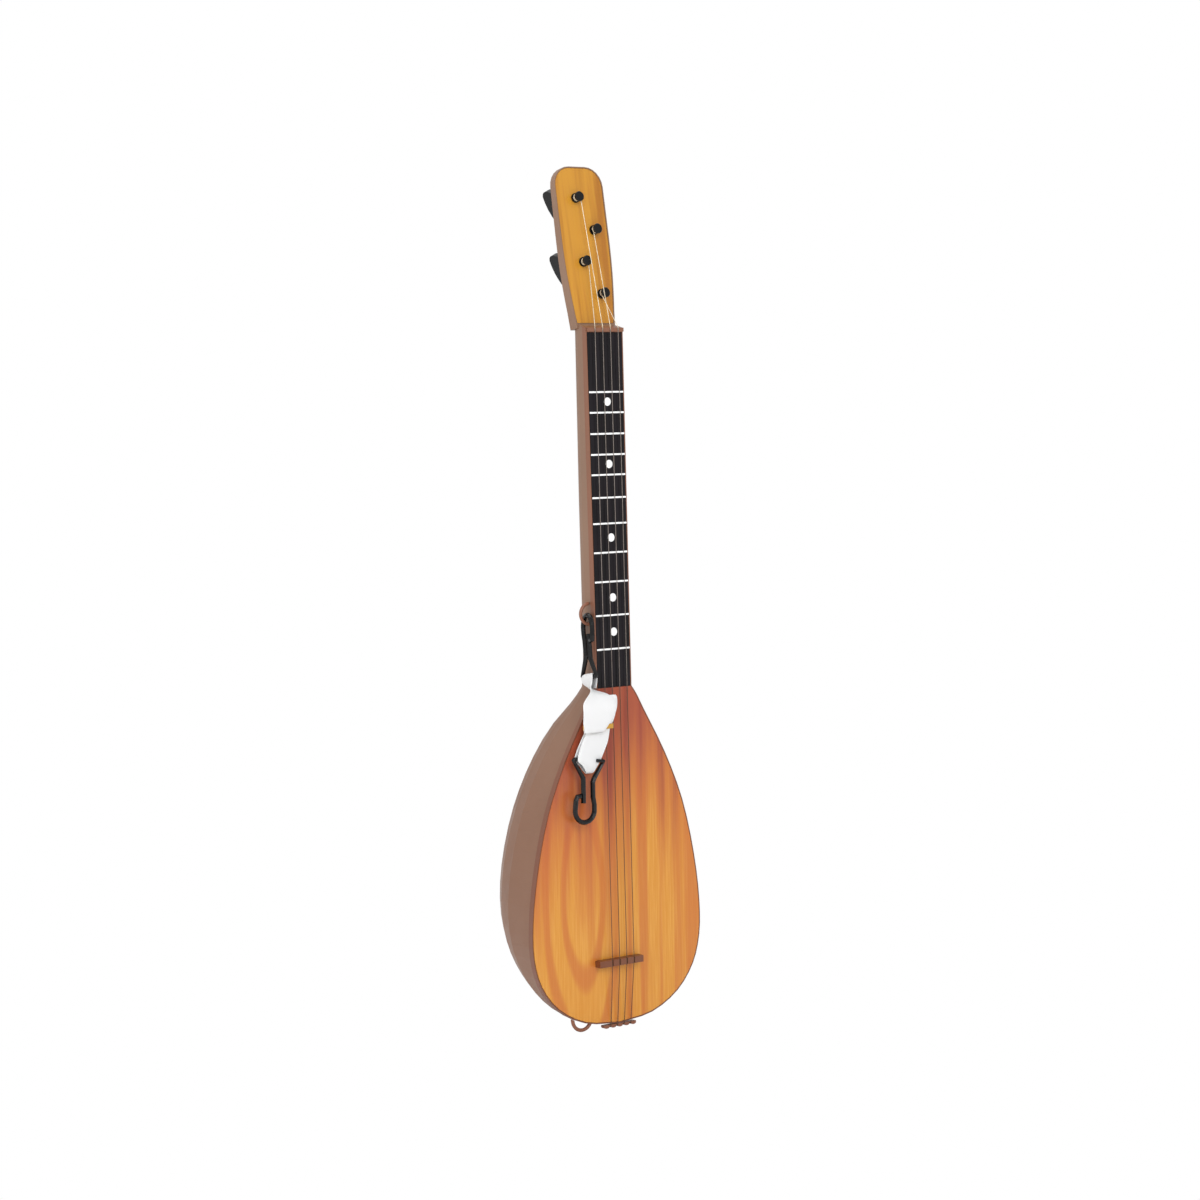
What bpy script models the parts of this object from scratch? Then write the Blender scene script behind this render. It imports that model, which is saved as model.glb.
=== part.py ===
"""A toy baglama: shell, cover, plates, four strings on pegs, and a folded strap on two snap hooks."""
import math

import bmesh
import bpy
import numpy as np
from mathutils import Matrix, Vector

MM = 0.001

# Clearances and walls
CLEAR = 0.3 * MM
WALL = 2.0 * MM
PLATE = 1.2 * MM
COVER_FRONT = 0.2 * MM
COVER_WEB = 1.8 * MM
SKIRT = 4.8 * MM
MARGIN = 1.15 * MM
SHELL_INSET = 0.6 * MM

# Neck and body, X right, Y back, Z up from the tail
JOINT_Z = 258.0 * MM
NECK_TOP = 526.8 * MM
RAMP_Z = 530.4 * MM
RAMP_SLOPE = 0.28
NECK_HALF_TOP = 17.3 * MM
NECK_HALF_JOINT = 16.5 * MM
LEAN = math.radians(1.18)
SECTION_POWER = 3.5
BODY_SIDE = [(16.5, 258), (20.8, 252), (27.5, 240), (47.8, 204), (64, 166), (74.8, 122), (79.5, 85), (79, 58),
             (72.5, 36), (57, 16.5), (32, 3), (0, -1.2)]
BACK_PROFILE = [(21.5, 540), (24, 400), (24.5, 290), (25.5, 272), (31, 252), (53, 228), (66, 203), (74, 173),
                (79.5, 135), (79.5, 108), (74, 83), (60, 60), (38, 36), (18, 12), (8, -1.2)]

# Peg head, in its own plane: X right, Y back, Z along the head
HEAD_Y = 11.0 * MM
HEAD_Z = 533.0 * MM
HEAD_TILT = math.radians(9.2)
HEAD_SIDE = [(16.8, 1.5), (19.0, 20), (20.7, 40), (21.4, 60), (21.5, 80), (21.5, 107.3)]
HEAD_CORNER = 14.0 * MM
HEAD_RIM = 1.2 * MM
HEAD_LIP = 0.2 * MM
HEAD_THICK_BOTTOM = 8.2 * MM
HEAD_THICK_TOP = 4.8 * MM
HEAD_LENGTH = 121.3 * MM

# Pegs
POSTS = [(-4.7, 98.0), (8.7, 73.4), (-4.7, 48.5), (8.7, 23.95)]
POST_SIDE = [1, -1, 1, -1]
SHAFT_R = 2.0 * MM
FLANGE_R = 3.75 * MM
FLANGE_H = 0.8 * MM
CAP_R = 3.9 * MM
CAP_H = 1.5 * MM
WAIST_H = 4.2 * MM
WASHER_R = 4.5 * MM
WASHER_H = 0.8 * MM
SOCKET = 7.0 * MM
KNOB_THICK = 5.0 * MM
HUB_R = 4.8 * MM
HUB_LENGTH = 10 * MM
KNOB_SIDE = [(4.0, 0.6), (4.4, 4.5), (8.8, 10.5), (12.9, 16.5), (13.5, 21.5), (10.6, 24.8), (0, 26.3)]
KNOB_TURN = math.radians(-26)

# Frets, nut, bridge and comb
FRETS = [482.0, 466.5, 450.5, 434.8, 419.5, 402.2, 382.6, 360.6, 338.4, 312.9, 287.2]
FRET_WIDE = 1.3 * MM
FRET_HIGH = 0.4 * MM
NUT_HALF = 16.6 * MM
NUT_FRONT = -2.0 * MM
NUT_TALL = 3.0 * MM
BRIDGE_X = -1.6 * MM
BRIDGE_HALF = 20.5 * MM
BRIDGE_DEEP = 6.4 * MM
BRIDGE_TALL = 5.0 * MM
BRIDGE_Z = 47.5 * MM
COMB_X = 1.0 * MM
TOOTH_PITCH = 6.3 * MM
TOOTH_GAP = 1.3 * MM
COMB_TIP = -4.2 * MM
COMB_TOP = -1.6 * MM
COMB_SLOT_TOP = -2.4 * MM

# Strings
STRING_R = 0.3 * MM
STRING_PITCH = 1.12 * MM
STRING_TURNS = 1.75
STRING_START = 0.95 * MM
NUT_STRINGS = [-10.3, -3.1, 4.1, 11.3]
BRIDGE_STRINGS = [-10.2, -3.4, 3.4, 10.2]
POST_TO_STRING = [1, 2, 0, 3]

# Eyelets
NECK_LOOP_Z = 314.6 * MM
NECK_LOOP_Y = 7.0 * MM
NECK_LOOP_R = 7.9 * MM
NECK_LOOP_WIRE = 1.3 * MM
TAIL_LOOP = (-33.0, 8.6, 6.2)
TAIL_LOOP_R = 8.7 * MM
TAIL_LOOP_WIRE = 1.45 * MM

# Snap hooks: the wire's path from the bar, in the hook's own plane
HOOK_WIRE = 1.95 * MM
HOOK_BAR = 1.65 * MM
UPPER_FINGER = (-4.35, 1.0)
LOWER_FINGER = (-4.75, 1.35)
RING = (-0.3, -38.3, 8.9)
HOOK_START = [(-1.9, -32.7), (-2.3, -27.5), (-3.5, -13.9), (-13.6, -0.6), (-12.6, 0.2), (12.6, 0.0), (13.9, -1.6),
              (6.8, -13.3), (5.5, -16.8), (6.6, -28.0)]
HOOK_END = [(-9.0, -31.0), (-8.0, -27.8), (-4.9, -27.4)]
UPPER_RING = (-21.5, 2.9, 305.6)
UPPER_BAR = (-24.4, -2.0, 267.3)
LOWER_BAR = (-30.9, -6.05, 205.5)
LOWER_TURN = math.radians(6)
STRAP_THICK = 1.0 * MM

# The strap's webbing: centre, turn of its width about the vertical, and width
STRAP_PATH = [
    (-21.9, -2.0, 258.5, 76, 14), (-21.9, -2.0, 263.0, 76, 18.6), (-21.95, -2.2, 267.3, 76, 18.6),
    (-22.6, -1.7, 269.1, 76, 20), (-24.25, -1.4, 269.7, 76, 18.6), (-26.0, -1.7, 269.1, 76, 20),
    (-26.85, -2.0, 267.3, 76, 22), (-26.9, -3.0, 262.5, 72, 20), (-25.9, -6.5, 258.4, 48, 15),
    (-23.0, -10.2, 254.5, 14, 22), (-22.9, -11.2, 249.0, 0, 28), (-23.2, -11.5, 241.0, 0, 28.5),
    (-25.6, -11.5, 233.0, 0, 24.5), (-27.2, -11.5, 228.2, 0, 19.5), (-27.2, -10.55, 226.6, 0, 18.5),
    (-26.6, -9.6, 228.2, 0, 19.5), (-22.4, -9.5, 235.0, 0, 24.5), (-19.0, -9.3, 242.0, 0, 27),
    (-18.2, -9.2, 251.0, 0, 27), (-18.0, -8.3, 252.8, 0, 26), (-17.8, -7.4, 251.0, 0, 27),
    (-17.6, -7.0, 242.0, 0, 27), (-18.6, -6.7, 234.0, 0, 24),
    (-20.0, -6.7, 229.5, 0, 21), (-25.5, -7.8, 218.0, 0, 24), (-29.8, -8.4, 209.5, 0, 23),
    (-31.1, -8.5, 205.5, 0, 21), (-30.4, -8.4, 201.5, 0, 14), (-30.3, -7.5, 197.0, 0, 8),
    (-30.2, -6.05, 195.8, 0, 7), (-30.3, -4.6, 197.0, 0, 8), (-30.4, -3.7, 201.5, 0, 14),
    (-31.1, -3.6, 205.5, 0, 21), (-29.3, -3.9, 210.0, 0, 23), (-25.0, -4.5, 219.0, 0, 23),
    (-21.5, -5.1, 227.0, 0, 21),
]
BAND_Z = 229.6 * MM
BAND_TALL = 3.6 * MM
BAND_THICK = 0.6 * MM

# The part's origin is where a hanger carries the neck, under the head
HANGER = Vector((0, 12 * MM, 543 * MM))

for old in list(bpy.data.objects):
    bpy.data.objects.remove(old)
parts = bpy.data.collections.new("baglama")
cutters = bpy.data.collections.new("cutters")
bpy.context.scene.collection.children.link(parts)
bpy.context.scene.collection.children.link(cutters)


def material(name, colour, roughness):
    made = bpy.data.materials.new(name)
    made.use_nodes = True
    shader = made.node_tree.nodes["Principled BSDF"]
    shader.inputs["Base Color"].default_value = (*colour, 1)
    shader.inputs["Roughness"].default_value = roughness
    return made


BROWN = material("brown plastic", (0.22, 0.12, 0.08), 0.45)
WOOD = material("printed wood", (0.62, 0.33, 0.09), 0.35)
BLACK = material("black plastic", (0.015, 0.015, 0.017), 0.3)
STEEL = material("string", (0.55, 0.52, 0.45), 0.35)
WEBBING = material("webbing", (0.9, 0.9, 0.9), 0.9)
OCHRE = material("band", (0.6, 0.35, 0.05), 0.6)


def empty(name, place, matrix=None, parent=None):
    made = bpy.data.objects.new(name, None)
    parts.objects.link(made)
    made.parent = parent
    made.matrix_local = Matrix.Translation(place) @ (matrix or Matrix())
    return made


def scaled(points):
    return np.array(points, float) * MM


def smooth_path(points, steps):
    """A smooth curve through the points, with this many steps between neighbours."""
    points = np.array(points, float)
    gaps = np.linalg.norm(np.diff(points[:, :3], axis=0), axis=1) ** 0.5
    knots = np.concatenate(([0], np.cumsum(gaps)))
    slopes = np.zeros_like(points)
    chords = np.diff(points, axis=0) / gaps[:, None]
    slopes[0], slopes[-1] = chords[0], chords[-1]
    for i in range(1, len(points) - 1):
        a, b = gaps[i - 1], gaps[i]
        slopes[i] = (chords[i - 1] * b + chords[i] * a) / (a + b)
    out = []
    for i, gap in enumerate(gaps):
        for t in np.arange(steps) / steps:
            out.append((2 * t**3 - 3 * t**2 + 1) * points[i] + (t**3 - 2 * t**2 + t) * gap * slopes[i]
                       + (3 * t**2 - 2 * t**3) * points[i + 1] + (t**3 - t**2) * gap * slopes[i + 1])
    out.append(points[-1])
    return np.array(out)


def inset(side, distance):
    """Moves a polyline to its right hand by a distance."""
    way = np.gradient(side, axis=0)
    way /= np.linalg.norm(way, axis=1)[:, None]
    return side + distance * np.stack([way[:, 1], -way[:, 0]], axis=1)


BODY_CURVE = smooth_path(scaled(BODY_SIDE), 3)
BACK_CURVE = smooth_path(scaled(BACK_PROFILE), 4)


def neck_half(z):
    return np.interp(z, [JOINT_Z, NECK_TOP], [NECK_HALF_JOINT, NECK_HALF_TOP])


def half_at(z, distance):
    """Half width of the cover's outline at a height, drawn in by a distance."""
    side = inset(BODY_CURVE, distance)
    if z >= JOINT_Z:
        return neck_half(z) - distance
    return np.interp(z, side[::-1, 1], side[::-1, 0])


def depth_at(z, distance):
    side = inset(BACK_CURVE, distance)
    return np.interp(z, side[::-1, 1], side[::-1, 0])


def new_object(name, mesh, shade, parent, where=parts):
    made = bpy.data.objects.new(name, mesh)
    where.objects.link(made)
    made.parent = parent
    if shade:
        mesh.materials.append(shade)
    return made


def cutter(name, mesh, parent):
    made = new_object(name, mesh, None, parent, cutters)
    made.hide_render = True
    made.display_type = "WIRE"
    return made


def boolean(target, tool, operation):
    step = target.modifiers.new(tool.name, "BOOLEAN")
    step.operation = operation
    step.object = tool


def mesh_of(curve, matrix):
    """A curve's evaluated mesh with its caps welded, placed by a matrix."""
    holder = bpy.data.objects.new("curve", curve)
    bpy.context.scene.collection.objects.link(holder)
    bpy.context.view_layer.update()
    seen = holder.evaluated_get(bpy.context.evaluated_depsgraph_get())
    mesh = bpy.data.meshes.new_from_object(seen)
    bpy.data.objects.remove(holder)
    bm = bmesh.new()
    bm.from_mesh(mesh)
    bmesh.ops.remove_doubles(bm, verts=bm.verts, dist=0.00001)
    bmesh.ops.recalc_face_normals(bm, faces=bm.faces)
    bm.to_mesh(mesh)
    bm.free()
    mesh.transform(matrix)
    return mesh


def poly_spline(curve, points, cyclic=False, radii=None):
    line = curve.splines.new("POLY")
    line.points.add(len(points) - 1)
    for i, (spot, point) in enumerate(zip(line.points, points)):
        spot.co = (*point, 1) if len(point) == 3 else (point[0], point[1], 0, 1)
        spot.radius = radii[i] if radii else 1
    line.use_cyclic_u = cyclic


def plate_mesh(outlines, front, back):
    """A flat plate across X and Z from outlines of (x, z), between two depths."""
    curve = bpy.data.curves.new("plate", "CURVE")
    curve.dimensions = "2D"
    curve.fill_mode = "BOTH"
    curve.extrude = (back - front) / 2
    for outline in outlines:
        poly_spline(curve, outline, True)
    stand = Matrix.Translation((0, (front + back) / 2, 0)) @ Matrix.Rotation(math.pi / 2, 4, "X")
    return mesh_of(curve, stand)


def tube_mesh(points, radius, sides, radii=None):
    curve = bpy.data.curves.new("tube", "CURVE")
    curve.dimensions = "3D"
    curve.bevel_depth = radius
    curve.bevel_resolution = sides
    curve.use_fill_caps = True
    poly_spline(curve, points, False, radii)
    return mesh_of(curve, Matrix())


def loft_mesh(rings):
    """Faces between rings of points, with a flat cap at each end."""
    bm = bmesh.new()
    rows = [[bm.verts.new(p) for p in ring] for ring in rings]
    for low, high in zip(rows, rows[1:]):
        for i in range(len(low)):
            j = (i + 1) % len(low)
            bm.faces.new((low[i], low[j], high[j], high[i]))
    bm.faces.new(rows[0])
    bm.faces.new(rows[-1])
    bmesh.ops.recalc_face_normals(bm, faces=bm.faces)
    mesh = bpy.data.meshes.new("loft")
    bm.to_mesh(mesh)
    bm.free()
    return mesh


def box_mesh(low, high):
    bm = bmesh.new()
    bmesh.ops.create_cube(bm, size=1)
    low, high = Vector(low), Vector(high)
    for v in bm.verts:
        v.co = Vector((low[i] if v.co[i] < 0 else high[i]) for i in range(3))
    mesh = bpy.data.meshes.new("box")
    bm.to_mesh(mesh)
    bm.free()
    return mesh


def drum_mesh(radius, front, back, x, z, sides=16):
    """A cylinder along Y."""
    bm = bmesh.new()
    turn = Matrix.Translation((x, (front + back) / 2, z)) @ Matrix.Rotation(math.pi / 2, 4, "X")
    bmesh.ops.create_cone(bm, cap_ends=True, segments=sides, radius1=radius, radius2=radius,
                          depth=back - front, matrix=turn)
    mesh = bpy.data.meshes.new("drum")
    bm.to_mesh(mesh)
    bm.free()
    return mesh


def join_meshes(meshes):
    bm = bmesh.new()
    for mesh in meshes:
        bm.from_mesh(mesh)
    out = bpy.data.meshes.new("joined")
    bm.to_mesh(out)
    bm.free()
    return out


def lean_back(mesh):
    """Bends a mesh back below the neck's joint, as the body leans from the neck."""
    bm = bmesh.new()
    bm.from_mesh(mesh)
    everything = bm.verts[:] + bm.edges[:] + bm.faces[:]
    bmesh.ops.bisect_plane(bm, geom=everything, dist=1e-7, plane_co=(0, 0, JOINT_Z), plane_no=(0, 0, 1))
    for v in bm.verts:
        v.co.y += max(0, JOINT_Z - v.co.z) * math.tan(LEAN)
    bm.to_mesh(mesh)
    bm.free()
    return mesh


def ramp_end(mesh):
    """Gives the neck's end its slope, from the strings side up to the head."""
    for v in mesh.vertices:
        if v.co.z > RAMP_Z:
            v.co.z = RAMP_Z + RAMP_SLOPE * v.co.y
    return mesh


def smooth_shade(mesh, angle=35):
    mesh.shade_smooth()
    mesh.set_sharp_from_angle(angle=math.radians(angle))


def both_sides(side):
    """A closed outline from its right half, top to tail."""
    left = [(-x, z) for x, z in side[::-1] if x > 0.01 * MM]
    return [tuple(p) for p in side] + left


def cover_outline(distance, top):
    side = inset(BODY_CURVE, distance)
    side = side[1:]
    start = [(neck_half(top) - distance, top), (NECK_HALF_JOINT - distance, JOINT_Z)]
    side[-1] = (0, side[-1][1])
    return both_sides(np.array(start + side.tolist()))


instrument = empty("instrument", -HANGER)
head_frame = empty("head_frame", (0, HEAD_Y, HEAD_Z), Matrix.Rotation(-HEAD_TILT, 4, "X"), instrument)
body_frame = empty("body_frame", (0, 0, JOINT_Z), Matrix.Rotation(LEAN, 4, "X"), instrument)


# Head outlines
def head_outline(distance, bottom):
    side = smooth_path(scaled(HEAD_SIDE), 2)
    centre = Vector((side[-1][0] - HEAD_CORNER, HEAD_LENGTH - HEAD_CORNER))
    radius = HEAD_CORNER + distance
    arc = [(centre.x + radius * math.cos(a), centre.y + radius * math.sin(a))
           for a in np.linspace(0, math.pi / 2, 7)]
    points = [(x + distance, z) for x, z in side[:-1]]
    points[0] = (points[0][0], bottom)
    right = points + arc
    return right + [(-x, z) for x, z in right[::-1]]


def head_thickness(s):
    return HEAD_THICK_BOTTOM + (HEAD_THICK_TOP - HEAD_THICK_BOTTOM) * s / HEAD_LENGTH


def head_block(distance, bottom, front, back_wall):
    """A block in the head whose back follows the head's taper."""
    mesh = plate_mesh([head_outline(distance, bottom)], front, 12 * MM)
    for v in mesh.vertices:
        if v.co.y > 6 * MM:
            v.co.y = head_thickness(v.co.z) - back_wall
    return mesh


# Back shell: bowl, neck back and head tray
RIM = SKIRT + CLEAR
SECTION_STEPS = 14


def section(z, distance, front, slope=0.0):
    half = half_at(z, distance)
    deep = depth_at(z, distance if distance > WALL else 0)
    ring = []
    for a in np.linspace(0, math.pi, SECTION_STEPS + 1):
        c, s = math.cos(a), max(math.sin(a), 0)
        x = half * math.copysign(abs(c) ** (2 / SECTION_POWER), c)
        y = front + (deep - front) * s ** (2 / SECTION_POWER)
        ring.append((x, y, z + slope * y))
    return ring


def shell_loft(distance, front, top, slope, tail):
    heights = [400 * MM, 290 * MM, 272 * MM, JOINT_Z]
    heights += [z for z in BODY_CURVE[1:-2, 1] if z > tail + 1 * MM] + [tail]
    rings = [section(top, distance, front, slope)] + [section(z, distance, front) for z in heights]
    return lean_back(loft_mesh(rings))


TAIL_CUT = BODY_CURVE[-2][1]
shell_mesh = shell_loft(SHELL_INSET, RIM, RAMP_Z, RAMP_SLOPE, TAIL_CUT)
back_shell = new_object("back_shell", shell_mesh, BROWN, instrument)
head_solid = cutter("head_solid", head_block(HEAD_RIM, -2.5 * MM, -HEAD_LIP, 0), head_frame)
boolean(back_shell, head_solid, "UNION")
hollow = shell_loft(SHELL_INSET + WALL, RIM - 3 * MM, 520 * MM, 0, TAIL_CUT + 3 * MM)
boolean(back_shell, cutter("hollow", hollow, instrument), "DIFFERENCE")
recess = plate_mesh([head_outline(CLEAR, 1.2 * MM)], -5 * MM, PLATE + CLEAR)
boolean(back_shell, cutter("head_recess", recess, head_frame), "DIFFERENCE")
pocket = head_block(-1.8 * MM, 5 * MM, PLATE - 0.5 * MM, WALL)
boolean(back_shell, cutter("head_pocket", pocket, head_frame), "DIFFERENCE")
post_places = [(x * MM, s * MM) for x, s in POSTS]
bosses = [drum_mesh(WASHER_R, PLATE + CLEAR, head_thickness(s) - 1 * MM, x, s) for x, s in post_places]
boolean(back_shell, cutter("bosses", join_meshes(bosses), head_frame), "UNION")
bores = [drum_mesh(SHAFT_R + CLEAR, -10 * MM, 20 * MM, x, s) for x, s in post_places]
bore_cutter = cutter("bores", join_meshes(bores), head_frame)
boolean(back_shell, bore_cutter, "DIFFERENCE")

# Front cover
cover_mesh = ramp_end(plate_mesh([cover_outline(0, 531 * MM)], COVER_FRONT, SKIRT))
front_cover = new_object("front_cover", lean_back(cover_mesh), BROWN, instrument)
sink = plate_mesh([cover_outline(MARGIN - CLEAR, NECK_TOP + CLEAR)], -5 * MM, PLATE + CLEAR)
boolean(front_cover, cutter("plate_recess", lean_back(sink), instrument), "DIFFERENCE")
under = plate_mesh([cover_outline(WALL, 520 * MM)], PLATE + CLEAR + COVER_WEB, 20 * MM)
boolean(front_cover, cutter("cover_hollow", lean_back(under), instrument), "DIFFERENCE")

# Plates
board = [p for p in cover_outline(MARGIN, NECK_TOP) if p[1] < JOINT_Z - 0.01 * MM]
top_edge = JOINT_Z - 0.2 * MM
board = [(NECK_HALF_JOINT - MARGIN, top_edge)] + board + [(MARGIN - NECK_HALF_JOINT, top_edge)]
new_object("soundboard", lean_back(plate_mesh([board], 0, PLATE)), WOOD, instrument)

low_edge = JOINT_Z + 0.2 * MM
neck_board = [(neck_half(NECK_TOP) - MARGIN, NECK_TOP), (neck_half(low_edge) - MARGIN, low_edge)]
neck_board += [(-x, z) for x, z in neck_board[::-1]]
fingerboard = new_object("fingerboard", plate_mesh([neck_board], 0, PLATE), BLACK, instrument)
bars = []
for z in scaled(FRETS):
    half = neck_half(z) - MARGIN - 0.1 * MM
    bars.append(box_mesh((-half, -FRET_HIGH, z - FRET_WIDE / 2), (half, 0.4 * MM, z + FRET_WIDE / 2)))
boolean(fingerboard, cutter("frets", join_meshes(bars), instrument), "UNION")

head_plate = new_object("head_plate", plate_mesh([head_outline(0, 1.5 * MM)], 0, PLATE), WOOD, head_frame)
boolean(head_plate, bore_cutter, "DIFFERENCE")

# Nut, bridge and comb
nut_low = NECK_TOP + 2 * CLEAR
nut = new_object("nut", box_mesh((-NUT_HALF, NUT_FRONT, nut_low),
                                 (NUT_HALF, COVER_FRONT - CLEAR, nut_low + NUT_TALL)), BROWN, instrument)
slot = STRING_R + CLEAR
NUT_STRING_Y = NUT_FRONT - 0.25 * MM
slots = [box_mesh((x - slot, -10 * MM, nut_low - MM), (x + slot, NUT_STRING_Y + slot, nut_low + 9 * MM))
         for x in scaled(NUT_STRINGS)]
boolean(nut, cutter("nut_slots", join_meshes(slots), instrument), "DIFFERENCE")

bridge_z = BRIDGE_Z - JOINT_Z
bridge_top = -CLEAR - BRIDGE_DEEP
bridge = new_object("bridge", box_mesh((BRIDGE_X - BRIDGE_HALF, bridge_top, bridge_z - BRIDGE_TALL / 2),
                                       (BRIDGE_X + BRIDGE_HALF, -CLEAR, bridge_z + BRIDGE_TALL / 2)), BROWN, body_frame)
BRIDGE_STRING_Y = bridge_top + 0.4 * MM
slots = [box_mesh((x - slot, -20 * MM, bridge_z - 9 * MM), (x + slot, BRIDGE_STRING_Y + slot, bridge_z + 9 * MM))
         for x in scaled(BRIDGE_STRINGS)]
boolean(bridge, cutter("bridge_slots", join_meshes(slots), body_frame), "DIFFERENCE")

lean_tail = JOINT_Z * math.tan(LEAN)
comb = [(COMB_X - 2.5 * TOOTH_PITCH + TOOTH_GAP / 2, COMB_TOP), (COMB_X + 2.5 * TOOTH_PITCH - TOOTH_GAP / 2, COMB_TOP)]
comb_outline = list(comb)
for k in range(2, -3, -1):
    middle = COMB_X + k * TOOTH_PITCH
    reach = (TOOTH_PITCH - TOOTH_GAP) / 2
    for a in (1, 0.9, 0.6, 0.2, -0.2, -0.6, -0.9, -1):
        drop = COMB_TIP + 1.2 * MM * (1 - math.sqrt(max(0, 1 - a * a)))
        comb_outline.append((middle + a * reach, drop))
    if k > -2:
        comb_outline.append((middle - reach, COMB_SLOT_TOP))
        comb_outline.append((middle - reach - TOOTH_GAP, COMB_SLOT_TOP))
comb_front = lean_tail + 0.4 * MM
new_object("string_holder", plate_mesh([comb_outline], comb_front, lean_tail + SKIRT), BROWN, instrument)


# Eyelets: rings cut by the wall that they stand on
def eyelet(name, centre, radius, wire, wall):
    bpy.ops.mesh.primitive_torus_add(major_segments=32, minor_segments=8, major_radius=radius,
                                     minor_radius=wire)
    ring = bpy.context.object
    mesh = ring.data
    mesh.transform(Matrix.Translation(centre) @ Matrix.Rotation(math.pi / 2, 4, "X"))
    bpy.data.objects.remove(ring)
    made = new_object(name, mesh, BROWN, instrument)
    boolean(made, cutter(name + "_wall", wall, instrument), "DIFFERENCE")


wall = plate_mesh([cover_outline(-CLEAR, 531 * MM)], -20 * MM, 40 * MM)
eyelet("neck_loop", (-neck_half(NECK_LOOP_Z), NECK_LOOP_Y, NECK_LOOP_Z), NECK_LOOP_R, NECK_LOOP_WIRE, wall.copy())
eyelet("tail_loop", Vector(TAIL_LOOP) * MM, TAIL_LOOP_R, TAIL_LOOP_WIRE, wall.copy())


# Pegs
def turned(name, profile, parent, shade, steps=20):
    """A turned shape about the peg's axis, from a profile of (radius, depth)."""
    mesh = bpy.data.meshes.new(name)
    mesh.from_pydata([(r, y, 0) for r, y in profile], [(i, i + 1) for i in range(len(profile) - 1)], [])
    made = new_object(name, mesh, shade, parent)
    screw = made.modifiers.new("turn", "SCREW")
    screw.axis = "Y"
    screw.steps = steps
    screw.render_steps = steps
    screw.use_merge_vertices = True
    screw.merge_threshold = 0.00001
    return made


knob_points = smooth_path(scaled(KNOB_SIDE), 2)
knob_outline = [tuple(p) for p in knob_points] + [(-x, z) for x, z in knob_points[-2::-1]]
for i, (x, s) in enumerate(post_places):
    axis = empty(f"peg_axis_{i + 1}", (x, 0, s), None, head_frame)
    front = -CLEAR
    washer = head_thickness(s) + CLEAR + 0.1 * MM
    hub = washer + WASHER_H + CLEAR
    tail = hub + SOCKET - CLEAR
    profile = [(0, tail), (SHAFT_R, tail), (SHAFT_R, front), (FLANGE_R, front), (FLANGE_R, front - FLANGE_H),
               (SHAFT_R, front - FLANGE_H), (SHAFT_R, front - FLANGE_H - WAIST_H),
               (CAP_R, front - FLANGE_H - WAIST_H), (CAP_R, front - FLANGE_H - WAIST_H - CAP_H + 0.4 * MM),
               (CAP_R - 0.4 * MM, front - FLANGE_H - WAIST_H - CAP_H),
               (0, front - FLANGE_H - WAIST_H - CAP_H)]
    turned(f"tuner_post_{i + 1}", profile, axis, BLACK)
    ring = [(SHAFT_R + CLEAR, washer), (WASHER_R, washer), (WASHER_R, washer + WASHER_H),
            (SHAFT_R + CLEAR, washer + WASHER_H), (SHAFT_R + CLEAR, washer)]
    turned(f"tuner_washer_{i + 1}", ring[::-1], axis, BLACK)
    paddle = plate_mesh([knob_outline], -KNOB_THICK / 2, KNOB_THICK / 2)
    paddle.transform(Matrix.Translation((0, hub, 0)) @ Matrix.Rotation(KNOB_TURN, 4, "Y")
                     @ Matrix.Rotation(math.pi / 2, 4, "Z") @ Matrix.Rotation(math.pi / 2, 4, "Y"))
    knob = new_object(f"tuner_knob_{i + 1}", paddle, BLACK, axis)
    boolean(knob, cutter(f"hub_{i + 1}", drum_mesh(HUB_R, hub, hub + HUB_LENGTH, 0, 0, 24), axis), "UNION")
    socket = drum_mesh(SHAFT_R + CLEAR, hub - MM, hub + SOCKET, 0, 0)
    boolean(knob, cutter(f"socket_{i + 1}", socket, axis), "DIFFERENCE")


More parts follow.
